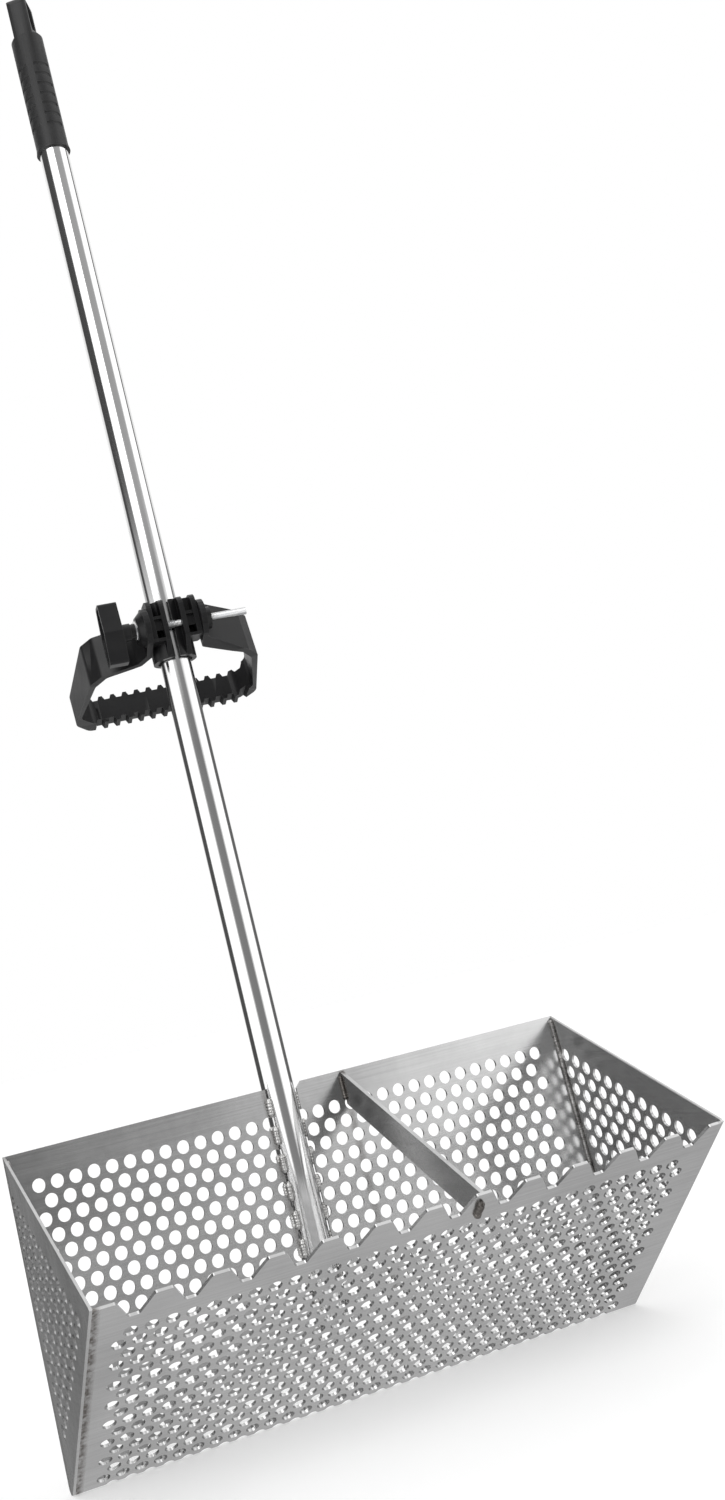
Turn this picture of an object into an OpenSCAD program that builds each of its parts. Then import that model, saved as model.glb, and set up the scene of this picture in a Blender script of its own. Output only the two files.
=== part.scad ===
// Long-handled beach sand scoop: a perforated stainless basket with a toothed edge,
// a welded tube pole with a moulded grip, and a clamp-on D-handle.
// Frame: origin at the centre of the grip's hanging eye, +Z up along the pole,
// -Y towards the basket's mouth and teeth, +X to the user's right. Millimetres.

/* [Basket] */
// Outer width across the two end plates
basket_width = 466; // [300:1:600]
// How far the basket's middle sits to the right of the pole
basket_offset = 13.5; // [0:0.5:60]
// Height of the back panel from the fold to the rim
back_height = 232; // [150:1:320]
// Length of the front panel from the fold to the tooth tips
front_length = 233; // [150:1:320]
// Angle between the front and back panels
fold_angle = 51.9; // [40:0.1:75]
// Height of the end plates' front corners above the fold
end_front_height = 144.8; // [100:0.2:180]
// Sheet thickness
sheet = 2; // [1:0.1:3]
// Inner radius of the fold
fold_radius = 3.5; // [2:0.5:3.5]

/* [Perforation] */
// Hole diameter
hole_d = 10; // [5:0.5:11]
// Distance between hole centres, staggered at 60 degrees
hole_pitch = 14; // [12:0.5:20]
// From the back rim to the middle of the first row
rim_margin = 25.4; // [15:0.1:40]

/* [Teeth] */
// Distance between teeth
tooth_pitch = 37.5; // [25:0.5:60]
// Width of a tooth's flat tip
tooth_flat = 12; // [6:0.5:20]
// Depth of the notches between the teeth
notch_depth = 18; // [8:0.5:25]
// Width of a notch's flat bottom
notch_flat = 7.5; // [4:0.5:12]

/* [Pole] */
// Tube outer diameter
tube_d = 25.4; // [19:0.1:32]
// Tube wall
tube_wall = 1.5; // [1:0.1:3]
// Height of the tube's lower end above the fold
tube_bottom = 52; // [20:1:100]
// How far the tube's axis lies behind the back panel's inner face
tube_setback = 6; // [0:0.5:10]

/* [Grip] */
// Outer diameter of the grip's body
grip_d = 28.8; // [27:0.1:40]
// Height of the grip's lower rim above the fold
grip_bottom = 1049; // [800:1:1100]
// Overall length of the grip
grip_length = 154; // [130:1:180]
// Turn of the eye about the pole
grip_turn = -30; // [-45:1:45]

/* [D-handle] */
// Height of the clamp bolt above the fold
bolt_height = 605; // [350:1:900]
// Turn of the clamp about the pole
clamp_turn = -9; // [-45:0.1:45]
// Downward tilt of the loop about the bolt
loop_tilt = 14.4; // [-30:0.5:50]
// Distance from the bolt to the middle of the hand bar
loop_reach = 131; // [110:1:150]
// Outer width of the loop at the hand bar
loop_width = 164; // [160:1:200]
// Depth of the band that forms the arms, along the pole
band_depth = 38; // [34:1:44]
// Pitch of the small teeth on the hand bar
bar_tooth_pitch = 10.8; // [8:0.5:14]

/* [Knob] */
// Length of the knob's bar
knob_length = 51; // [40:1:52]
// Diameter of the threaded stud
stud_d = 6; // [5:0.5:8]

/* [Hidden] */
$fn = 64;

steel = "silver";
weld_grey = "dimgray";
plastic = [0.09, 0.09, 0.1];

// Heights are given above the fold; eye_height moves them to the eye's frame.
eye_w = 17;
eye_h = 32;
eye_top_wall = 5.5;
eye_height = grip_bottom + grip_length - eye_top_wall - eye_h / 2;
fold_z = -eye_height;

// Basket planes: the back panel's inner face is a plane of constant Y.
inner_y = -tube_setback;
inner_width = basket_width - 2 * sheet;
left_x = basket_offset - inner_width / 2;
right_x = basket_offset + inner_width / 2;
bend = 180 - fold_angle;
fold_tangent = fold_radius * tan(bend / 2);
row_step = hole_pitch * sin(60);
end_front_reach = end_front_height * tan(fold_angle);
rim_slope = atan((back_height - end_front_height) / end_front_reach);
tube_r = tube_d / 2;
// A slot in the back panel lets the tube in, a hair wider than the tube
slot_gap = 0.1;

// Rows of holes continue round the fold: back rows, one row in the bend, front rows
back_rows = 17;
front_rows = 16;
last_back_row = back_height - rim_margin - (back_rows - 1) * row_step;
neutral_radius = fold_radius + 0.4 * sheet;
bend_arc = neutral_radius * bend * PI / 180;
bend_row = row_step - (last_back_row - fold_tangent);
bend_row_angle = bend * bend_row / bend_arc;
first_front_row = fold_tangent + row_step - (bend_arc - bend_row);
// Middle of the lattice, half a hole to the right of the basket's middle
lattice_x = basket_offset - 1.3;
holes_odd = 31;
holes_even = 30;

// Notches run from the left; the last tooth is cut by the right end plate
notches = 12;
first_notch_x = -189.6;

// End plates: a triangle of holes with this many on each side
end_side = 12;
end_first_hole = [-7.4, 199.6];

// Brace across the mouth, with its middle plane at brace_x
brace_x = 52.5;
brace_t = 3;
brace_h = 22.5;
tab_foot = 209;
tab_length = 16.5;
tab_proud = 1.6;

// Fillet legs of the welds
end_weld = 3;
brace_weld = 2.5;
weld_inset = 4;

// Pole and grip
tab_h = 42;
tab_w = 28;
tab_t = 17;
socket_depth = grip_length - tab_h - 4;
tube_length = grip_bottom + socket_depth - tube_bottom;
groove_rows = 7;
groove_pitch = 9.9;
groove_start = 21.7;
groove_span = 66;

// Clamp: distances from the tube's axis and from the bolt's level
bolt_front = 18;
// The jaws, the bolt and the loop sit this far to the right of the tube's axis
clamp_shift = 2;
run_gap = 0.05;
stud_clear = 0.3;
liner_r = tube_r + 1.5;
sleeve_r = 18;
sleeve_gap = 2.2;
jaw_gap = 6;
jaw_out = 20.4;
jaw_front = 27;
jaw_top = 21.5;
jaw_bottom = -26.5;
jaw_pocket = -14;
flange_t = 4;
rib_t = 2.5;

// Loop: distances along the bolt from its middle, and from the bolt towards the bar
band_t = 4.7;
arm_in = 20.9;
arm_out = arm_in + band_t;
arm_r = 16;
shoulder = 33;
band_lift = 1;
bar_t = 12;
bar_h = 18.5;
bar_tooth_h = 3.6;
hub_out = 31;
hub_r = 10;
nut_af = 10;
nut_h = 5;
nut_end = 30.5;

// Bolt and knob
washer_t = 1.2;
knob_in = 36;
knob_out = 58.5;
neck = 7;
stud_end = 61;

function row_count(k) = k % 2 == 0 ? holes_odd : holes_even;

// Round stretch between two straight edges: the corner b of a-b-c with radius r
function corner(a, b, c, r, steps = 6) =
    let (u = (a - b) / norm(a - b),
         v = (c - b) / norm(c - b),
         half = acos(u * v) / 2,
         reach = r / tan(half),
         p = b + u * reach,
         q = b + v * reach,
         m = b + (u + v) / norm(u + v) * (r / sin(half)))
    [for (i = [0 : steps])
        let (w = (p - m) * (1 - i / steps) + (q - m) * i / steps)
        m + w / norm(w) * r];

// The same polygon with every corner rounded to its own radius
function rounded(points, radii) =
    let (n = len(points))
    [for (i = [0 : n - 1])
        each (radii[i] > 0
            ? corner(points[(i + n - 1) % n], points[i], points[(i + 1) % n], radii[i])
            : [points[i]])];

// ---- places ----

// Origin at the fold's inner corner, Y away from the mouth, Z up the back panel
module basket_frame() {
    translate([0, inner_y, fold_z]) children();
}

// X across, Y up the front panel from the fold, Z out of its outer face
module on_front_panel() {
    basket_frame() rotate([90 + fold_angle, 0, 0]) children();
}

// Middle of the fold's round, seen end-on
module fold_centre() {
    basket_frame() translate([0, -fold_radius, fold_tangent]) children();
}

// Turned with the clamp: X along the bolt, Y away from the mouth, origin on the tube's axis
module clamp_frame() {
    translate([0, 0, fold_z + bolt_height]) rotate([0, 0, clamp_turn]) children();
}

// The same, with its origin at the middle of the bolt's axis
module bolt_frame() {
    clamp_frame() translate([clamp_shift, -bolt_front, 0]) children();
}

// Tilted with the loop: Y runs from the bolt towards the hand bar
module loop_frame() {
    bolt_frame() rotate([-loop_tilt, 0, 0]) children();
}

// A round bar along X from x0 to x1
module bar_x(x0, x1, r) {
    translate([x0, 0, 0]) rotate([0, 90, 0]) cylinder(r = r, h = x1 - x0);
}

// A flat plate from x0 to x1, its outline drawn with Y across and Z up
module plate_x(x0, x1) {
    translate([x0, 0, 0]) rotate([90, 0, 90]) linear_extrude(x1 - x0) children();
}

// A quarter-round fillet along Z, filling the corner between +X and +Y
module fillet_bead(leg, length) {
    linear_extrude(length) intersection() {
        circle(leg);
        square(leg);
    }
}

// ---- basket ----

module hole_row(k) {
    n = row_count(k);
    for (i = [0 : n - 1])
        translate([lattice_x + (i - (n - 1) / 2) * hole_pitch, 0]) circle(d = hole_d);
}

module back_panel() {
    slot_r = tube_r + slot_gap;
    flare = 4.5;
    color(steel)
    basket_frame() translate([0, sheet, 0]) rotate([90, 0, 0]) linear_extrude(sheet)
    difference() {
        translate([left_x, fold_tangent]) square([inner_width, back_height - fold_tangent]);
        for (k = [0 : back_rows - 1])
            translate([0, back_height - rim_margin - k * row_step]) hole_row(k);
        translate([-slot_r, tube_bottom - slot_gap]) square([2 * slot_r, back_height]);
        polygon([[slot_r - 1, back_height + 1], [slot_r + flare + 1, back_height + 1],
            [slot_r - 1, back_height - flare - 1]]);
    }
}

// Corners of one notch on the front panel: X across, Y up from the fold
function notch(k) =
    let (c = first_notch_x + k * tooth_pitch,
         wide = (tooth_pitch - tooth_flat) / 2,
         narrow = notch_flat / 2,
         foot = front_length - notch_depth)
    [[c + wide, front_length], [c + narrow, foot], [c - narrow, foot], [c - wide, front_length]];

// What the teeth leave out: the notches, and everything beyond the tooth tips
module beyond_teeth() {
    far = front_length + 3 * notch_depth;
    points = concat(
        [[left_x - notch_depth, front_length], [left_x - notch_depth, far],
         [right_x + notch_depth, far], [right_x + notch_depth, front_length]],
        [for (k = [notches - 1 : -1 : 0]) each notch(k)]);
    radii = [for (i = [0 : len(points) - 1]) i < 4 ? 0 : i % 4 == 0 || i % 4 == 3 ? 2.5 : 3];
    polygon(rounded(points, radii));
}

// Side view of the fold and the front panel: X away from the mouth, Y up
module front_profile() {
    outer_r = fold_radius + sheet;
    steps = 16;
    c = [-fold_radius, fold_tangent];
    up_front = [-sin(fold_angle), cos(fold_angle)];
    out_front = [-cos(fold_angle), -sin(fold_angle)];
    polygon(concat(
        [for (i = [0 : steps]) c + outer_r * [cos(i * bend / steps), -sin(i * bend / steps)]],
        [up_front * front_length + out_front * sheet, up_front * front_length],
        [for (i = [steps : -1 : 0])
            c + fold_radius * [cos(i * bend / steps), -sin(i * bend / steps)]]));
}

module front_panel() {
    color(steel)
    difference() {
        basket_frame() plate_x(left_x, right_x) front_profile();
        on_front_panel() translate([0, 0, -sheet]) linear_extrude(3 * sheet) {
            beyond_teeth();
            for (k = [1 : front_rows])
                translate([0, first_front_row + (k - 1) * row_step])
                    hole_row(back_rows + k);
            translate([brace_x - brace_t / 2 - slot_gap, tab_foot - slot_gap])
                square([brace_t + 2 * slot_gap, tab_length + 2 * slot_gap]);
        }
        // the row of holes that lies in the bend
        fold_centre() rotate([-90 - bend_row_angle, 0, 0])
            for (i = [0 : row_count(back_rows) - 1])
                translate([lattice_x + (i - (row_count(back_rows) - 1) / 2) * hole_pitch, 0, 0])
                    cylinder(d = hole_d, h = 3 * fold_radius);
    }
}

// End plate seen from the right: X away from the mouth, Y up
module end_outline() {
    outer_r = fold_radius + sheet;
    fold_arc = [for (a = [0 : bend / 12 : bend])
        [-fold_radius + outer_r * cos(a), fold_tangent - outer_r * sin(a)]];
    polygon(concat([[sheet, back_height]], fold_arc,
        [[-end_front_reach - sheet * cos(fold_angle),
          end_front_height - sheet * sin(fold_angle)],
         [-end_front_reach, end_front_height]]));
}

// Triangular field of holes whose sides follow the rim, the back and the front
module end_holes() {
    step_rim = [-cos(rim_slope), -sin(rim_slope)] * hole_pitch;
    step_down = [-cos(rim_slope + 60), -sin(rim_slope + 60)] * hole_pitch;
    for (j = [0 : end_side - 1])
        for (i = [0 : end_side - 1 - j])
            translate(end_first_hole + i * step_rim + j * step_down) circle(d = hole_d);
}

module end_panel(x0) {
    color(steel)
    basket_frame() plate_x(x0, x0 + sheet) difference() {
        end_outline();
        end_holes();
    }
}

module left_end_panel() {
    end_panel(left_x - sheet);
}

module right_end_panel() {
    end_panel(right_x);
}

// Flat bar across the mouth, edge on, with a tab through the front panel
module brace_strip() {
    up_front = [-sin(fold_angle), cos(fold_angle)];
    out_front = [-cos(fold_angle), -sin(fold_angle)];
    front_tip = up_front * front_length;
    front_foot = front_tip - up_front * brace_h / sin(90 - fold_angle + rim_slope);
    drop = brace_h / cos(rim_slope);
    tab_out = sheet + tab_proud;
    color(steel)
    basket_frame() plate_x(brace_x - brace_t / 2, brace_x + brace_t / 2) union() {
        polygon([[0, back_height - 1], front_tip, front_foot, [0, back_height - 1 - drop]]);
        polygon([up_front * tab_foot, up_front * (tab_foot + tab_length),
            up_front * (tab_foot + tab_length) + out_front * tab_out,
            up_front * tab_foot + out_front * tab_out]);
    }
}

// ---- welds ----

module back_weld(mirrored) {
    color(weld_grey)
    basket_frame()
        translate([mirrored ? right_x : left_x, 0, fold_tangent + weld_inset])
            rotate([0, 0, mirrored ? 180 : -90])
                fillet_bead(end_weld, back_height - fold_tangent - weld_inset - end_weld);
}

module front_weld(mirrored) {
    color(weld_grey)
    on_front_panel()
        translate([mirrored ? right_x : left_x, fold_tangent + weld_inset, 0])
            rotate([-90, 0, 0]) rotate([0, 0, mirrored ? 90 : 0])
                fillet_bead(end_weld,
                    end_front_height / cos(fold_angle) - fold_tangent - weld_inset - 12);
}

module left_back_weld() {
    back_weld(false);
}

module left_front_weld() {
    front_weld(false);
}

module right_back_weld() {
    back_weld(true);
}

module right_front_weld() {
    front_weld(true);
}

// A row of short stitches between the tube and one side of its slot; the right-hand
// row is only on the back
module pole_weld(side) {
    stitch = 14;
    step = 21;
    bead_r = 3.4;
    front = side > 0 ? inner_y + sheet / 2 : inner_y - bead_r - 1;
    color(weld_grey)
    difference() {
        for (i = [0 : 7])
            translate([side * (tube_r - 0.4), inner_y, fold_z + tube_bottom + 12 + i * step])
                cylinder(r = bead_r, h = stitch);
        translate([0, 0, fold_z]) cylinder(r = tube_r, h = back_height + 50, $fn = 128);
        translate([side > 0 ? tube_r + slot_gap : -tube_r - slot_gap - 20, inner_y, fold_z])
            cube([20, sheet, back_height + 50]);
        translate([-tube_d, front - 20, fold_z]) cube([2 * tube_d, 20, back_height + 50]);
    }
}

module pole_left_weld() {
    pole_weld(-1);
}

module pole_right_weld() {
    pole_weld(1);
}

module brace_back_weld() {
    color(weld_grey)
    for (side = [-1, 1])
        basket_frame() translate([brace_x + side * brace_t / 2, 0, back_height - brace_h])
            rotate([0, 0, side > 0 ? -90 : 180]) fillet_bead(brace_weld, brace_h - 4);
}

module brace_front_weld() {
    color(weld_grey)
    for (side = [-1, 1])
        on_front_panel() translate([brace_x + side * brace_t / 2, tab_foot, sheet])
            rotate([90, 0, 0]) mirror([0, 0, 1]) rotate([0, 0, side > 0 ? 0 : 90])
                fillet_bead(tab_proud, tab_length);
}

// ---- pole and grip ----

module pole_tube() {
    color(steel)
    translate([0, 0, fold_z + tube_bottom]) difference() {
        cylinder(r = tube_r, h = tube_length, $fn = 128);
        translate([0, 0, -1]) cylinder(r = tube_r - tube_wall, h = tube_length + 2);
    }
}

// Rows of short arc grooves between four smooth ribs
module grip_grooves() {
    for (k = [0 : groove_rows - 1])
        translate([0, 0, groove_start + k * groove_pitch])
            for (q = [0 : 3])
                rotate([0, 0, 45 + 90 * q - groove_span / 2])
                    rotate_extrude(angle = groove_span)
                        translate([grip_d / 2 + 1.2, 0]) circle(r = 2.2, $fn = 24);
}

// The tab seen along the eye, with a round top
module tab_front() {
    foot = grip_length - tab_h - 2;
    translate([-tab_w / 2, foot]) square([tab_w, grip_length - tab_w / 2 - foot]);
    translate([0, grip_length - tab_w / 2]) circle(tab_w / 2);
}

// The tab seen edge on, with rounded top corners
module tab_edge() {
    foot = grip_length - tab_h - 2;
    polygon(rounded(
        [[-tab_t / 2, foot], [tab_t / 2, foot], [tab_t / 2, grip_length],
         [-tab_t / 2, grip_length]],
        [0, 0, 6, 6]));
}

module hanging_eye() {
    square([eye_w, eye_h - eye_w], center = true);
    translate([0, (eye_h - eye_w) / 2]) circle(d = eye_w);
    translate([0, -(eye_h - eye_w) / 2]) circle(d = eye_w);
}

module grip() {
    body = grip_length - tab_h;
    shoulder = 9;
    lip = 5;
    r = grip_d / 2;
    color(plastic)
    translate([0, 0, fold_z + grip_bottom]) rotate([0, 0, grip_turn]) difference() {
        intersection() {
            union() {
                cylinder(r1 = r + 0.6, r2 = r - 0.2, h = lip);
                translate([0, 0, lip]) cylinder(r = r - 0.2, h = grip_length - lip);
            }
            union() {
                cylinder(r = r + 2, h = body);
                // shoulder that narrows to the tab's two flats
                intersection() {
                    translate([0, 0, body]) cylinder(r1 = r, r2 = tab_t / 2, h = shoulder);
                    translate([0, 0, body]) cylinder(r = r, h = shoulder);
                }
                intersection() {
                    translate([-tab_t / 2, 0, 0]) rotate([90, 0, 90]) linear_extrude(tab_t)
                        tab_front();
                    translate([0, tab_w, 0]) rotate([90, 0, 0]) linear_extrude(2 * tab_w)
                        tab_edge();
                }
            }
        }
        translate([0, 0, -1]) cylinder(r = tube_r, h = socket_depth + 1, $fn = 128);
        translate([-tab_w, 0, eye_height - grip_bottom]) rotate([90, 0, 90])
            linear_extrude(2 * tab_w) hanging_eye();
        grip_grooves();
    }
}

// ---- clamp ----

// Split rubber sleeve between the tube and the jaws
module clamp_liner() {
    color([0.12, 0.12, 0.12])
    clamp_frame() translate([0, 0, jaw_bottom + 1]) difference() {
        cylinder(r = liner_r, h = jaw_top - jaw_bottom - 2);
        translate([0, 0, -1]) cylinder(r = tube_r + run_gap, h = jaw_top - jaw_bottom);
        translate([-2, -liner_r - 1, -1]) cube([4, liner_r, jaw_top - jaw_bottom]);
    }
}

// Inner flange seen from the side: X away from the mouth, Y up, the bolt's level at 0
module inner_flange_side() {
    polygon(rounded(
        [[0, jaw_bottom], [0, jaw_top], [-jaw_front, jaw_top], [-jaw_front, -12],
         [-tube_r - 3, jaw_bottom]],
        [0, 0, 9, 5, 2]));
}

// Outer flange, which ends below the lower pocket
module outer_flange_side() {
    polygon(rounded(
        [[-3, jaw_pocket], [-3, jaw_top], [-jaw_front, jaw_top], [-jaw_front, jaw_pocket]],
        [3, 3, 9, 4]));
}

// Right jaw, its flanges moved outwards by shift; the left one is its mirror image
module jaw(shift) {
    height = jaw_top - jaw_bottom;
    x0 = jaw_gap + shift;
    x1 = jaw_out + shift;
    color(plastic)
    difference() {
        union() {
            // half sleeve round the liner
            intersection() {
                translate([0, 0, jaw_bottom]) cylinder(r = sleeve_r, h = height);
                translate([sleeve_gap, -50, jaw_bottom]) cube([50, 100, height]);
            }
            plate_x(x0, x0 + flange_t) inner_flange_side();
            plate_x(x1 - flange_t, x1) outer_flange_side();
            // web behind the pockets
            translate([tube_r - 1, -13, jaw_pocket]) cube([x1 - tube_r, 9, jaw_top - jaw_pocket]);
            // boss round the bolt, the rib above it and the floor of the lower pocket
            translate([x0 + 1, -bolt_front - 4.5, -4.5]) cube([x1 - x0 - 2, 14, 9]);
            translate([x0 + 1, -jaw_front + 1.5, 4.4]) cube([x1 - x0 - 2, 20, rib_t]);
            translate([x0 + 1, -jaw_front + 1.5, jaw_pocket]) cube([x1 - x0 - 2, 20, rib_t]);
        }
        translate([0, 0, jaw_bottom - 1]) cylinder(r = liner_r + run_gap, h = height + 2);
        translate([0, -bolt_front, 0]) bar_x(0, x1 + 1, stud_d / 2 + stud_clear);
    }
}

module left_jaw() {
    clamp_frame() mirror([1, 0, 0]) jaw(-clamp_shift);
}

module right_jaw() {
    clamp_frame() jaw(clamp_shift);
}

// ---- D-handle ----

// Half of the loop's outline from above, its middle at X = 0: Y is the distance from the
// bolt, straight is the length of the arm and rise how far it then bends out
function loop_half(inset, straight, rise) =
    let (w = loop_width / 2 - inset,
         bar = loop_reach + (inset > 0 ? -bar_t / 2 : bar_t / 2))
    [[arm_out - inset, -arm_r], [arm_out - inset, straight],
     [arm_out + 7 - inset * 0.7, straight + rise],
     [w - 19, shoulder + inset * 0.7], [w - 10, shoulder + 11 + inset],
     [w, bar - 16], [w - 13, bar]];

// The right arm has a thick corner; the left one is cranked to let the knob turn
module loop_outline(inset, round_r) {
    right = inset > 0 ? loop_half(inset, 15, 5) : loop_half(0, 2, 5.8);
    other = inset > 0 ? loop_half(inset, 17.4, 9.9) : loop_half(0, 15, 9);
    left = [for (i = [len(other) - 1 : -1 : 0]) [-other[i].x, other[i].y]];
    polygon(rounded(concat(right, left),
        concat([0, 3, 3, 6, 8, round_r, 8], [8, round_r, 8, 6, 3, 3, 0])));
}

// Band seen from the side: round at the bolt, full depth beyond it, shallower at the hand bar
module loop_side() {
    high = band_depth / 2 + band_lift;
    low = -band_depth / 2 + band_lift;
    edge = bar_h / 2 + bar_tooth_h;
    bar_front = loop_reach - bar_t / 2;
    bar_back = loop_reach + bar_t;
    polygon(rounded(
        [[-arm_r, -arm_r], [0, -arm_r], [30, low], [46, low], [bar_front, -edge],
         [bar_back, -edge], [bar_back, edge], [bar_front, edge], [46, high], [30, high],
         [0, arm_r], [-arm_r, arm_r]],
        [arm_r - 0.5, 4, 8, 12, 6, 0, 0, 6, 12, 8, 4, arm_r - 0.5]));
}

module d_handle() {
    gaps = floor((loop_width / 2 - 16) / bar_tooth_pitch);
    edge = bar_h / 2 + bar_tooth_h;
    color(plastic)
    loop_frame() difference() {
        union() {
            intersection() {
                translate([0, 0, -band_depth]) linear_extrude(2 * band_depth) difference() {
                    loop_outline(0, 14);
                    loop_outline(band_t, 10);
                    translate([-arm_in, -2 * arm_r]) square([2 * arm_in, 2 * arm_r + 10]);
                }
                plate_x(-loop_width, loop_width) loop_side();
            }
            // boss that holds the captive nut, and the flared hub that the knob bears on
            bar_x(arm_out - 1, nut_end, 9);
            translate([-arm_out + 0.5, 0, 0]) rotate([0, -90, 0])
                cylinder(r1 = arm_r - 0.5, r2 = hub_r, h = hub_out - arm_out + 0.5);
        }
        // gaps between the small teeth on both edges of the hand bar
        for (side = [-1, 1])
            for (i = [-gaps : gaps])
                translate([(i + 0.5) * bar_tooth_pitch, loop_reach + 1.5 * bar_t, 0])
                    rotate([90, 0, 0]) linear_extrude(3 * bar_t)
                        polygon([
                            [-2.2, side * bar_h / 2], [2.2, side * bar_h / 2],
                            [4.8, side * (edge + 2)], [-4.8, side * (edge + 2)]]);
        bar_x(-hub_out - 1, nut_end + 1, stud_d / 2 + stud_clear);
        bar_hex(nut_end - nut_h - 1, nut_end + 1, nut_af);
    }
}

// A hexagonal bar along X, its size given across the flats
module bar_hex(x0, x1, across) {
    translate([x0, 0, 0]) rotate([0, 90, 0])
        cylinder(d = across / cos(30), h = x1 - x0, $fn = 6);
}

module captive_nut() {
    color("lightgray")
    loop_frame() difference() {
        bar_hex(nut_end - nut_h - 1, nut_end - 1, nut_af);
        bar_x(0, nut_end + 1, stud_d / 2 + run_gap);
    }
}

// ---- bolt and knob ----

// Hex-headed bolt that the knob turns, its head sunk in the knob's outer face
module clamp_bolt() {
    color("lightgray")
    bolt_frame() union() {
        bar_hex(-knob_out + 3, -knob_out + 7, nut_af);
        bar_x(-knob_out + 6, stud_end, stud_d / 2);
    }
}

module knob_washer() {
    color("lightgray")
    bolt_frame() difference() {
        bar_x(-hub_out - washer_t, -hub_out, 8);
        bar_x(-hub_out - washer_t - 1, -hub_out + 1, stud_d / 2 + run_gap);
    }
}

// Plain collar on the bolt between the knob's neck and the washer
module knob_bush() {
    color([0.15, 0.15, 0.15])
    bolt_frame() difference() {
        bar_x(-knob_in + 0.2, -hub_out - washer_t, 6);
        bar_x(-knob_in, -hub_out, stud_d / 2);
    }
}

// Knob seen along the bolt: a bar that is widest at its middle
module knob_face(grow) {
    l = knob_length / 2 + grow;
    mid = 11.5 + grow;
    end = 7 + grow;
    polygon(rounded(
        [[-end, -l], [end, -l], [mid, 0], [end, l], [-end, l], [-mid, 0]],
        [3, 3, 3, 3, 3, 3]));
}

module knob() {
    wall = 2.5;
    color(plastic)
    bolt_frame() difference() {
        union() {
            plate_x(-knob_out, -knob_in - neck) knob_face(0);
            bar_x(-knob_in - neck - 1, -knob_in, 7);
        }
        plate_x(-knob_out - 1, -knob_out + 3) knob_face(-wall);
        bar_hex(-knob_out + 2, -knob_out + 7, nut_af);
        bar_x(-knob_out, 0, stud_d / 2);
    }
}

back_panel();
front_panel();
left_end_panel();
right_end_panel();
brace_strip();
left_back_weld();
left_front_weld();
right_back_weld();
right_front_weld();
pole_left_weld();
pole_right_weld();
brace_back_weld();
brace_front_weld();
pole_tube();
grip();
clamp_liner();
left_jaw();
right_jaw();
d_handle();
captive_nut();
knob_washer();
clamp_bolt();
knob();
knob_bush();
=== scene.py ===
import math
import bpy
from mathutils import Matrix, Vector, noise


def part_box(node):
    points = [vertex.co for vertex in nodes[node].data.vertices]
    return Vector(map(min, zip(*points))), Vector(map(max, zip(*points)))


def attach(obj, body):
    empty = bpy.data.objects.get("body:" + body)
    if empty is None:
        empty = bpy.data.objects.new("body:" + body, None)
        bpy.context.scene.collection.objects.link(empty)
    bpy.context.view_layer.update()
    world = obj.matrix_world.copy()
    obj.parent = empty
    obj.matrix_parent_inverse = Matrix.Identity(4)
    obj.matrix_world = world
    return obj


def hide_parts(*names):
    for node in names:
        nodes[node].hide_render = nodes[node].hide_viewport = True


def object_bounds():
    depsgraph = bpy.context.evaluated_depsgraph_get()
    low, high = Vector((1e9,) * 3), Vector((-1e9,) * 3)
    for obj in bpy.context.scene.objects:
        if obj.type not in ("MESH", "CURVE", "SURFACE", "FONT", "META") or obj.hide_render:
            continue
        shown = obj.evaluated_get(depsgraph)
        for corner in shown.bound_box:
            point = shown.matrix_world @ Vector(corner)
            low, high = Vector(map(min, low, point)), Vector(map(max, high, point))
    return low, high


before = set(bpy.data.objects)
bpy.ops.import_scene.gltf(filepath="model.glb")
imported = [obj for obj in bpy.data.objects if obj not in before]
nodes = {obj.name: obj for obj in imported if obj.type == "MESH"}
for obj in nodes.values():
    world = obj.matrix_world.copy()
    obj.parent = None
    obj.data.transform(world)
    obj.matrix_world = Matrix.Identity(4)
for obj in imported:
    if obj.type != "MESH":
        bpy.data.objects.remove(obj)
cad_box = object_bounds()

scene = bpy.context.scene
BOTTOM = cad_box[0][2]

# Turn of the clamp about the pole, as in the CAD
CLAMP_TURN = math.radians(-9.0)
# Angle between the basket's front and back panels, as in the CAD
FOLD = math.radians(51.9)
ACROSS = Vector((1.0, 0.0, 0.0))
AWAY = Vector((0.0, 1.0, 0.0))
# Up the front panel, and square off it into the basket
UP_FRONT = Vector((0.0, -math.sin(FOLD), math.cos(FOLD)))
OFF_FRONT = Vector((0.0, math.cos(FOLD), math.sin(FOLD)))
# Azimuth of the direction that points from the pole back past the camera
LOOK_BACK = math.radians(-110.0)


# ---- camera ----

def make_camera():
    # The way the camera faces: its right, its down and its line of sight
    right = Vector((0.92925, -0.29074, -0.22795))
    down = Vector((-0.15392, 0.25625, -0.95428))
    ahead = Vector((0.33586, 0.92185, 0.19337))
    data = bpy.data.cameras.new("photo_camera")
    data.sensor_width = 36.0
    data.lens = 36.148
    data.shift_x = 0.1179
    data.shift_y = -0.01752
    data.clip_start = 0.02
    data.clip_end = 100.0
    cam = bpy.data.objects.new("photo_camera", data)
    scene.collection.objects.link(cam)
    turn = Matrix((right, -down, -ahead)).transposed()
    place = Vector((-0.41302, -1.12298, BOTTOM + 0.28862))
    cam.matrix_world = Matrix.Translation(place) @ turn.to_4x4()
    scene.camera = cam


# ---- node helpers ----

def add(tree, kind, inputs=None, **props):
    node = tree.nodes.new(kind)
    for key, value in props.items():
        setattr(node, key, value)
    for key, value in (inputs or {}).items():
        if isinstance(value, bpy.types.NodeSocket):
            tree.links.new(value, node.inputs[key])
        else:
            node.inputs[key].default_value = value
    return node


def calc(tree, operation, a, b=0.0, c=0.0):
    node = add(tree, "ShaderNodeMath", {0: a, 1: b, 2: c}, operation=operation)
    return node.outputs[0]


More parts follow.
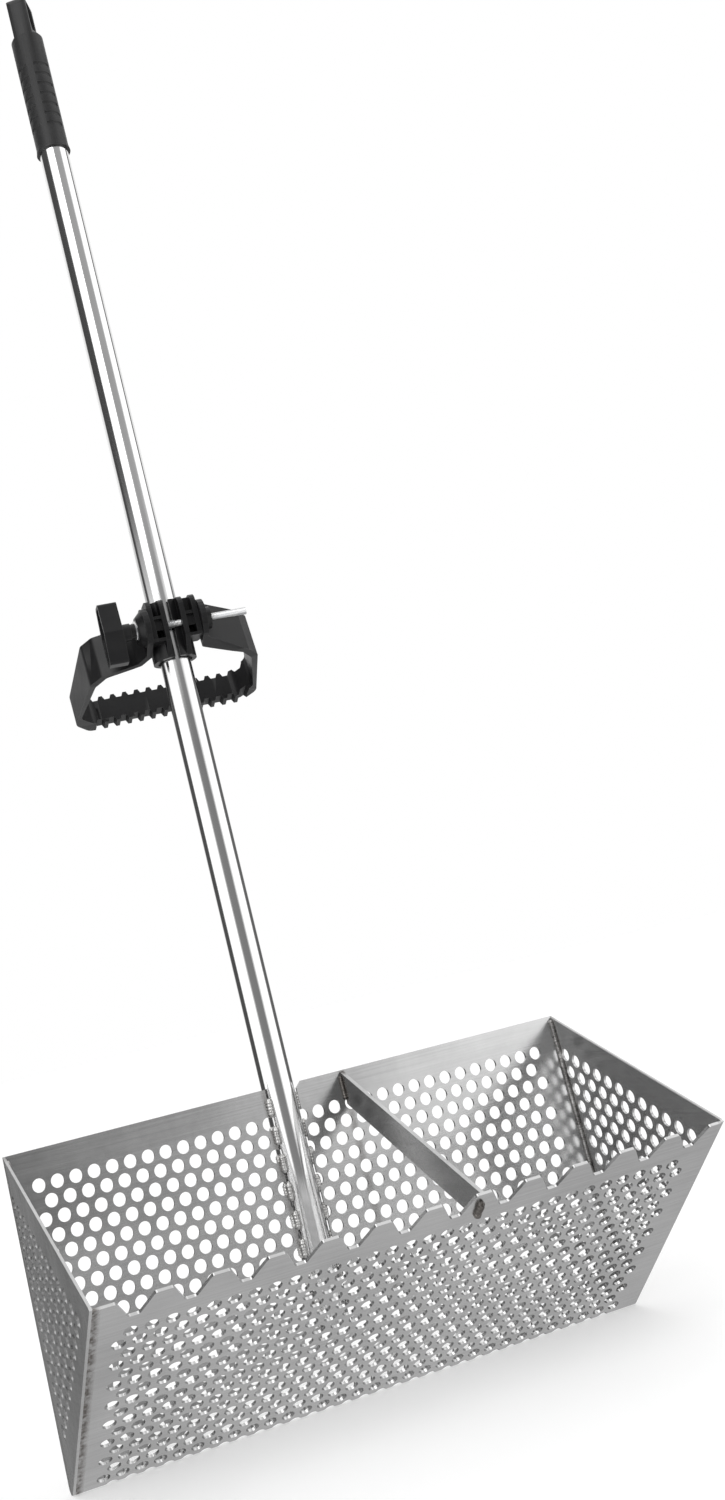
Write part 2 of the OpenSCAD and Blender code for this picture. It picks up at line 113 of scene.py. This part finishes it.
def ramp(tree, factor, stops):
    node = add(tree, "ShaderNodeValToRGB", {"Fac": factor})
    points = node.color_ramp.elements
    while len(points) < len(stops):
        points.new(0.5)
    for point, (at, colour) in zip(points, stops):
        point.position = at
        point.color = (*colour, 1.0) if isinstance(colour, tuple) else (colour, colour, colour, 1.0)
    return node.outputs["Color"]


def spread(tree, value, low, high, start=0.0, end=1.0):
    node = add(tree, "ShaderNodeMapRange",
               {"Value": value, "From Min": start, "From Max": end, "To Min": low, "To Max": high})
    return node.outputs["Result"]


def place(tree):
    return add(tree, "ShaderNodeTexCoord").outputs["Object"]


def stretched(tree, scale, turn=(0.0, 0.0, 0.0)):
    return add(tree, "ShaderNodeMapping",
               {"Vector": place(tree), "Scale": scale, "Rotation": turn}).outputs["Vector"]


def clouds(tree, vector, scale, detail=3.0, rough=0.5):
    return add(tree, "ShaderNodeTexNoise",
               {"Vector": vector, "Scale": scale, "Detail": detail, "Roughness": rough}).outputs["Fac"]


def bump(tree, height, distance, strength=1.0, under=None):
    inputs = {"Height": height, "Distance": distance, "Strength": strength}
    if under is not None:
        inputs["Normal"] = under
    return add(tree, "ShaderNodeBump", inputs).outputs["Normal"]


def mixed(tree, factor, a, b):
    node = add(tree, "ShaderNodeMix", {0: factor, 6: a, 7: b}, data_type="RGBA")
    return node.outputs[2]


def grey(value):
    return (value, value, value, 1.0)


def material(name, metallic):
    mat = bpy.data.materials.new(name)
    mat.use_nodes = True
    shader = mat.node_tree.nodes["Principled BSDF"]
    shader.inputs["Metallic"].default_value = metallic
    return mat, mat.node_tree, shader


def join(tree, shader, **links):
    for key, socket in links.items():
        tree.links.new(socket, shader.inputs[key.replace("_", " ")])


# How far an edge band reaches: 0 on flat faces, towards 1 on sharp edges. On the plastics this band
# carries a painted highlight; on the zinc it makes the edges lighter
def edge_mask(tree, radius):
    soft = add(tree, "ShaderNodeBevel", {"Radius": radius}, samples=4).outputs["Normal"]
    flat = add(tree, "ShaderNodeNewGeometry").outputs["Normal"]
    dot = add(tree, "ShaderNodeVectorMath", {0: soft, 1: flat}, operation="DOT_PRODUCT")
    return spread(tree, dot.outputs["Value"], 0.0, 1.0, 0.995, 0.86)


# ---- metals ----

# Mill-finished sheet: grain along one axis, soft blotches, and a darker strip beside each weld, whose
# plane is given as normal, distance from the origin, reach and strength
def sheet_metal(name, grain, tints=()):
    mat, tree, shader = material(name, 1.0)
    blotch = clouds(tree, place(tree), 11.0, 4.0, 0.55)
    streak = clouds(tree, stretched(tree, grain), 1.0, 3.0, 0.6)
    scuff = clouds(tree, place(tree), 95.0, 5.0, 0.7)
    tone = calc(tree, "MULTIPLY_ADD", streak, 0.35, calc(tree, "MULTIPLY", blotch, 0.65))
    colour = ramp(tree, tone, [(0.32, 0.46), (0.5, 0.55), (0.68, 0.63)])
    rough = calc(tree, "MULTIPLY_ADD", scuff, 0.08,
                 calc(tree, "MULTIPLY_ADD", blotch, 0.14, calc(tree, "MULTIPLY", streak, 0.08)))
    rough = calc(tree, "ADD", rough, 0.06)
    for normal, at, reach, power in tints:
        along = add(tree, "ShaderNodeVectorMath", {0: place(tree), 1: normal},
                    operation="DOT_PRODUCT").outputs["Value"]
        off = calc(tree, "ABSOLUTE", calc(tree, "SUBTRACT", along, at))
        near = spread(tree, off, 1.0, 0.0, reach * 0.35, reach)
        speck = clouds(tree, place(tree), 210.0, 4.0, 0.65)
        dark = calc(tree, "MULTIPLY", near, spread(tree, speck, 0.25, power, 0.38, 0.6))
        colour = mixed(tree, dark, colour, (0.11, 0.095, 0.085, 1.0))
        rough = calc(tree, "MULTIPLY_ADD", dark, 0.2, rough)
    lift = bump(tree, streak, 0.00006, 0.5)
    lift = bump(tree, blotch, 0.0012, 0.35, lift)
    join(tree, shader, Base_Color=colour, Roughness=rough, Normal=lift)
    return mat


def polished_tube():
    mat, tree, shader = material("pole_steel", 1.0)
    lines = clouds(tree, stretched(tree, (420.0, 420.0, 5.0)), 1.0, 3.0, 0.6)
    haze = clouds(tree, stretched(tree, (30.0, 30.0, 7.0)), 1.0, 4.0, 0.6)
    colour = ramp(tree, haze, [(0.3, 0.74), (0.7, 0.83)])
    rough = calc(tree, "MULTIPLY_ADD", lines, 0.07, calc(tree, "MULTIPLY_ADD", haze, 0.08, 0.035))
    lift = bump(tree, lines, 0.00004, 0.5)
    lift = bump(tree, haze, 0.0003, 0.3, lift)
    join(tree, shader, Base_Color=colour, Roughness=rough, Normal=lift)
    return mat


def weld_metal(name, low, high):
    mat, tree, shader = material(name, 1.0)
    spot = clouds(tree, place(tree), 420.0, 4.0, 0.7)
    cloud = clouds(tree, place(tree), 60.0, 3.0, 0.5)
    tone = calc(tree, "MULTIPLY_ADD", spot, 0.6, calc(tree, "MULTIPLY", cloud, 0.4))
    middle = tuple((a + b) / 2 for a, b in zip(low, high))
    colour = ramp(tree, tone, [(0.35, low), (0.52, middle), (0.66, high)])
    rough = spread(tree, spot, 0.22, 0.5, 0.3, 0.7)
    join(tree, shader, Base_Color=colour, Roughness=rough, Normal=bump(tree, spot, 0.0004, 0.6))
    return mat


def zinc_plate(name, threaded):
    mat, tree, shader = material(name, 1.0)
    haze = clouds(tree, place(tree), 130.0, 4.0, 0.6)
    edge = edge_mask(tree, 0.0004)
    body = ramp(tree, haze, [(0.35, (0.66, 0.67, 0.69)), (0.65, (0.78, 0.78, 0.77))])
    colour = mixed(tree, edge, body, grey(0.86))
    rough = spread(tree, haze, 0.14, 0.3, 0.3, 0.7)
    lift = bump(tree, haze, 0.0001, 0.4)
    if threaded:
        # Threads 1 mm apart along the bolt, in millimetres
        along = stretched(tree, (1000.0, 0.0, 0.0), (0.0, 0.0, -CLAMP_TURN))
        turns = add(tree, "ShaderNodeTexWave", {"Vector": along, "Scale": 0.314, "Distortion": 0.0},
                    bands_direction="X").outputs["Fac"]
        lift = bump(tree, turns, 0.0003, 0.7, lift)
    join(tree, shader, Base_Color=colour, Roughness=rough, Normal=lift)
    return mat


# ---- plastics ----

# Moulded plastic: fine grain of a given scale and depth, faint flow marks, edges painted lighter as a
# highlight
def moulded(name, low, high, rough_range, grain, depth):
    mat, tree, shader = material(name, 0.0)
    flow = clouds(tree, place(tree), 36.0, 4.0, 0.6)
    pores = clouds(tree, place(tree), grain, 3.0, 0.6)
    scuff = clouds(tree, stretched(tree, (300.0, 300.0, 60.0)), 1.0, 4.0, 0.7)
    # Painted highlight: the edges are painted lighter, in patches that follow the scuff noise
    edge = calc(tree, "MULTIPLY", edge_mask(tree, 0.0007), spread(tree, scuff, 0.2, 0.8, 0.35, 0.65))
    body = ramp(tree, flow, [(0.3, low), (0.7, high)])
    colour = mixed(tree, edge, body, grey(high[0] * 3.0 + 0.02))
    rough = calc(tree, "MULTIPLY_ADD", scuff, 0.08, spread(tree, flow, *rough_range, 0.3, 0.7))
    lift = bump(tree, pores, depth, 0.6)
    lift = bump(tree, flow, 0.0006, 0.25, lift)
    join(tree, shader, Base_Color=colour, Roughness=rough, Normal=lift)
    shader.inputs["Specular IOR Level"].default_value = 0.32
    return mat


# ---- soft edges on the carried-over plastic pieces ----

def soften(name, width):
    piece = nodes[name]
    weld = piece.modifiers.new("merge", "WELD")
    weld.merge_threshold = 0.00001
    round_off = piece.modifiers.new("soft_edges", "BEVEL")
    round_off.width = width
    round_off.segments = 3
    round_off.limit_method = "ANGLE"
    round_off.angle_limit = math.radians(32.0)
    round_off.use_clamp_overlap = True
    round_off.harden_normals = True


# ---- weld beads ----

BEAD_SIDES = 9
RING_STEP = 0.0004
# How far a bead's middle lies off the corner that it fills
CORNER_INSET = 0.0009
BRACE_INSET = 0.0007
# Each row of stitches beside the tube: sideways from the tube's axis, and y
REAR_ROW = (0.0136, -0.0028)
FRONT_ROW = (0.0124, -0.0074)
STITCHES = 8
STITCH_LENGTH = 0.014


# A rippled bead along each run, which is a pair of points, with its ends drawn in
def beads(name, runs, radius, ripple, finish, node):
    verts, faces = [], []
    for number, (start, end) in enumerate(runs):
        line = end - start
        length = line.length
        line.normalize()
        side = line.orthogonal().normalized()
        up = line.cross(side)
        rings = max(6, int(length / RING_STEP))
        first = len(verts)
        for i in range(rings + 1):
            s = length * i / rings
            end_gap = min(s, length - s)
            taper = math.sqrt(min(1.0, (end_gap + 0.0002) / (radius * 1.2)))
            drift = noise.noise(Vector((s * 160.0, number * 3.1, 0.7)))
            for j in range(BEAD_SIDES):
                turn = 2 * math.pi * j / BEAD_SIDES
                wave = math.cos(2 * math.pi * s / ripple + 0.9 * math.cos(turn) + 4.0 * drift)
                rough = noise.noise(Vector((s * 900.0, math.cos(turn) * 2.0, math.sin(turn) * 2.0)))
                r = radius * taper * (1.0 + 0.09 * wave + 0.14 * drift + 0.1 * rough)
                verts.append(start + line * s + (side * math.cos(turn) + up * math.sin(turn)) * r)
        faces += [(first + i * BEAD_SIDES + j, first + i * BEAD_SIDES + (j + 1) % BEAD_SIDES,
                   first + (i + 1) * BEAD_SIDES + (j + 1) % BEAD_SIDES,
                   first + (i + 1) * BEAD_SIDES + j)
                  for i in range(rings) for j in range(BEAD_SIDES)]
        last = first + rings * BEAD_SIDES
        faces.append(tuple(range(first + BEAD_SIDES - 1, first - 1, -1)))
        faces.append(tuple(range(last, last + BEAD_SIDES)))
    mesh = bpy.data.meshes.new(name)
    mesh.from_pydata([tuple(v) for v in verts], [], faces)
    mesh.shade_smooth()
    mesh.materials.append(finish)
    piece = bpy.data.objects.new(name, mesh)
    scene.collection.objects.link(piece)
    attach(piece, "scoop")
    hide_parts(node)


def end_beads(side, inward, finish):
    low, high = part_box(side + "_back_weld")
    leg = high.x - low.x
    x = low.x if side == "left" else high.x
    foot = Vector((x, high.y, low.z)) + (inward - AWAY) * CORNER_INSET
    head = foot + Vector((0.0, 0.0, high.z - low.z))
    beads(side + "_back_bead", [(foot, head)], 0.0016, 0.0017, finish, side + "_back_weld")

    low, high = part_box(side + "_front_weld")
    inset = (inward + OFF_FRONT) * CORNER_INSET
    foot = Vector((x, high.y - leg * OFF_FRONT.y, low.z)) + inset
    head = Vector((x, low.y, high.z - leg * OFF_FRONT.z)) + inset
    beads(side + "_front_bead", [(foot, head)], 0.0016, 0.0017, finish, side + "_front_weld")


# Stitches beside the tube, in rows: both behind the panel, and on the left also in front of it
def pole_beads(side, sign, rows, finish):
    low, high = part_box("pole_" + side + "_weld")
    pitch = (high.z - low.z - STITCH_LENGTH) / (STITCHES - 1)
    runs = [(Vector((sign * x, y, low.z + i * pitch)),
             Vector((sign * x, y, low.z + i * pitch + STITCH_LENGTH)))
            for x, y in rows for i in range(STITCHES)]
    beads("pole_" + side + "_beads", runs, 0.0021, 0.0021, finish, "pole_" + side + "_weld")


def brace_beads(finish):
    brace_low, brace_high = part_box("brace_strip")
    low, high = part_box("brace_back_weld")
    feet = [Vector((x, high.y - BRACE_INSET, low.z))
            for x in (brace_low.x - BRACE_INSET, brace_high.x + BRACE_INSET)]
    runs = [(foot, foot + Vector((0.0, 0.0, high.z - low.z))) for foot in feet]
    beads("brace_back_beads", runs, 0.0015, 0.0017, finish, "brace_back_weld")

    low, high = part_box("brace_front_weld")
    proud = (high.x - low.x - (brace_high.x - brace_low.x)) / 2
    x = (low.x + high.x) / 2
    overrun = UP_FRONT * 0.001
    foot = Vector((x, high.y, low.z + proud * OFF_FRONT.z)) - OFF_FRONT * BRACE_INSET
    head = Vector((x, low.y + proud * OFF_FRONT.y, high.z)) - OFF_FRONT * BRACE_INSET
    beads("brace_front_bead", [(foot - overrun, head + overrun)], 0.0026, 0.0023, finish,
          "brace_front_weld")


def make_welds():
    corner = weld_metal("corner_weld", (0.10, 0.095, 0.09), (0.62, 0.61, 0.6))
    bright = weld_metal("bright_weld", (0.45, 0.44, 0.43), (0.9, 0.9, 0.89))
    burnt = weld_metal("burnt_weld", (0.02, 0.018, 0.017), (0.3, 0.28, 0.26))
    end_beads("left", ACROSS, corner)
    end_beads("right", -ACROSS, corner)
    pole_beads("left", -1, [REAR_ROW, FRONT_ROW], bright)
    pole_beads("right", 1, [REAR_ROW], bright)
    brace_beads(burnt)


# ---- stage and light ----

def make_floor():
    half = 40.0
    mesh = bpy.data.meshes.new("studio_floor")
    corners = [(-half, -half, BOTTOM), (half, -half, BOTTOM), (half, half, BOTTOM), (-half, half, BOTTOM)]
    mesh.from_pydata(corners, [], [(0, 1, 2, 3)])
    floor = bpy.data.objects.new("studio_floor", mesh)
    scene.collection.objects.link(floor)
    mat, tree, shader = material("studio_floor", 0.0)
    mottle = clouds(tree, place(tree), 3.0, 2.0)
    join(tree, shader, Base_Color=ramp(tree, mottle, [(0.3, 0.70), (0.7, 0.73)]))
    shader.inputs["Roughness"].default_value = 0.9
    shader.inputs["Specular IOR Level"].default_value = 0.1
    shader.inputs["Emission Color"].default_value = grey(1.0)
    shader.inputs["Emission Strength"].default_value = 0.36
    mesh.materials.append(mat)
    floor.visible_glossy = False
    floor.visible_shadow = False


# Plain white dome that only the camera sees, so that every view has a white background
def make_dome():
    rings, sides, radius = 12, 24, 45.0
    middle = BOTTOM - 1.0
    verts = [(radius * math.cos(a) * math.cos(e), radius * math.sin(a) * math.cos(e),
              middle + radius * math.sin(e))
             for e in (math.pi / 2 * i / rings for i in range(rings))
             for a in (2 * math.pi * j / sides for j in range(sides))]
    verts.append((0.0, 0.0, middle + radius))
    top = len(verts) - 1
    faces = [(i * sides + j, i * sides + (j + 1) % sides,
              (i + 1) * sides + (j + 1) % sides, (i + 1) * sides + j)
             for i in range(rings - 1) for j in range(sides)]
    faces += [((rings - 1) * sides + j, (rings - 1) * sides + (j + 1) % sides, top)
              for j in range(sides)]
    mesh = bpy.data.meshes.new("studio_dome")
    mesh.from_pydata(verts, [], faces)
    dome = bpy.data.objects.new("studio_dome", mesh)
    scene.collection.objects.link(dome)
    mat, tree, shader = material("studio_dome", 0.0)
    shader.inputs["Base Color"].default_value = grey(0.0)
    shader.inputs["Specular IOR Level"].default_value = 0.0
    shader.inputs["Emission Color"].default_value = grey(1.0)
    shader.inputs["Emission Strength"].default_value = 1.0
    mesh.materials.append(mat)
    for kind in ("diffuse", "glossy", "transmission", "shadow", "volume_scatter"):
        setattr(dome, "visible_" + kind, False)


# Brightness round the horizon, as pairs of angle and value. The angle is 0 behind the camera and
# positive towards +X, and the white backdrop lies at 180. HIGH holds for directions well above the
# horizon, LOW for those near it and below it
HIGH = [(-180, 1.0), (-124, 1.0), (-118, 0.07), (-54, 0.08), (-48, 1.7), (-4, 1.6), (8, 0.42),
        (54, 0.45), (64, 1.5), (108, 1.5), (114, 0.12), (124, 0.15), (130, 1.0), (180, 1.0)]
LOW = [(-180, 0.95), (-158, 0.9), (-148, 0.1), (-98, 0.08), (-88, 1.5), (-24, 1.5), (-12, 0.26),
       (34, 0.24), (48, 1.4), (100, 1.5), (110, 0.14), (150, 0.14), (164, 0.9), (180, 0.95)]
# The world's strength, which also keeps the values above within a colour ramp's range
WORLD_SCALE = 2.0


def make_world():
    world = bpy.data.worlds.new("studio")
    scene.world = world
    world.use_nodes = True
    tree = world.node_tree
    sight = add(tree, "ShaderNodeTexCoord").outputs["Generated"]
    turned = add(tree, "ShaderNodeVectorRotate", {"Vector": sight, "Angle": -LOOK_BACK},
                 rotation_type="Z_AXIS").outputs["Vector"]
    axes = add(tree, "ShaderNodeSeparateXYZ", {"Vector": turned}).outputs
    round_by = spread(tree, calc(tree, "ARCTAN2", axes[1], axes[0]), 0.0, 1.0, -math.pi, math.pi)
    high, low = (ramp(tree, round_by, [((a + 180) / 360, v / WORLD_SCALE) for a, v in band])
                 for band in (HIGH, LOW))
    side = mixed(tree, spread(tree, axes[2], 0.0, 1.0, 0.2, 0.34), low, high)
    ground, zenith = grey(0.62 / WORLD_SCALE), grey(1.1 / WORLD_SCALE)
    side = mixed(tree, spread(tree, axes[2], 1.0, 0.0, -0.75, -0.4), side, ground)
    whole = mixed(tree, spread(tree, axes[2], 0.0, 1.0, 0.72, 0.92), side, zenith)
    back = tree.nodes["Background"]
    tree.links.new(whole, back.inputs["Color"])
    back.inputs["Strength"].default_value = WORLD_SCALE
    scene.view_settings.view_transform = "Standard"


def make_key_light():
    lamp = bpy.data.lights.new("key_softbox", "AREA")
    lamp.shape = "RECTANGLE"
    lamp.size = 1.4
    lamp.size_y = 1.8
    lamp.energy = 16.0
    key = bpy.data.objects.new("key_softbox", lamp)
    scene.collection.objects.link(key)
    spot = Vector((-1.3, -1.9, 1.1))
    aim = Vector((0.0, 0.0, -0.6))
    turn = (aim - spot).to_track_quat("-Z", "Y").to_matrix()
    key.matrix_world = Matrix.Translation(spot) @ turn.to_4x4()
    key.visible_camera = False


# ---- finishes ----

# The finish of each kind of steel or zinc, with a darker strip beside the welds that cross it
def metal_finishes():
    front_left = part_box("front_panel")[0].x
    inner_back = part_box("back_panel")[0].y
    brace_low, brace_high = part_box("brace_strip")
    brace_middle = (brace_low.x + brace_high.x) / 2
    stitch_line = -0.0135
    along_x, along_y = (7.0, 650.0, 650.0), (650.0, 7.0, 650.0)
    across, away = tuple(ACROSS), tuple(AWAY)
    return {
        # The front panel is darkened almost to the strip colour within 6 mm of its left edge, where it
        # meets the end panel
        "front_panel": sheet_metal("front_sheet", along_x, [(across, front_left, 0.006, 0.95)]),
        "back_panel": sheet_metal("back_sheet", along_x, [(across, stitch_line, 0.004, 0.5),
                                                          (across, brace_middle, 0.004, 0.4)]),
        "end": sheet_metal("end_sheet", along_y, [(away, inner_back, 0.006, 0.35)]),
        "brace_strip": sheet_metal("brace_sheet", along_y, [(away, inner_back, 0.007, 0.95)]),
        "pole_tube": polished_tube(),
        "zinc": zinc_plate("zinc", False),
        "clamp_bolt": zinc_plate("zinc_thread", True),
    }


def plastic_finishes():
    return {
        "grip": moulded("grip_plastic", (0.012, 0.012, 0.0125), (0.02, 0.02, 0.0205),
                        (0.38, 0.48), 1700.0, 0.00007),
        "jaw": moulded("clamp_plastic", (0.004, 0.004, 0.0045), (0.007, 0.007, 0.0075),
                       (0.28, 0.38), 2300.0, 0.00005),
        "d_handle": moulded("handle_plastic", (0.004, 0.004, 0.0045), (0.008, 0.008, 0.0085),
                            (0.3, 0.4), 2100.0, 0.00005),
        "knob": moulded("knob_plastic", (0.005, 0.005, 0.0055), (0.009, 0.009, 0.0095),
                        (0.3, 0.4), 2300.0, 0.00005),
        "rubber": moulded("rubber", (0.01, 0.01, 0.01), (0.018, 0.018, 0.0175),
                          (0.6, 0.72), 1200.0, 0.00009),
    }


# Every node has the finish of its own name or its kind's, apart from the welds, which are replaced
def paint():
    finishes = {**metal_finishes(), **plastic_finishes()}
    kinds = {
        "left_end_panel": "end", "right_end_panel": "end", "captive_nut": "zinc",
        "knob_washer": "zinc", "clamp_liner": "rubber", "left_jaw": "jaw", "right_jaw": "jaw",
        "knob_bush": "knob",
    }
    for name, piece in nodes.items():
        if not name.endswith("weld"):
            piece.data.materials.clear()
            piece.data.materials.append(finishes[kinds.get(name, name)])


make_camera()
make_floor()
make_dome()
make_world()
make_key_light()
paint()
make_welds()
for name, width in [("d_handle", 0.0012), ("left_jaw", 0.0007), ("right_jaw", 0.0007),
                    ("knob", 0.0009), ("grip", 0.0008)]:
    soften(name, width)
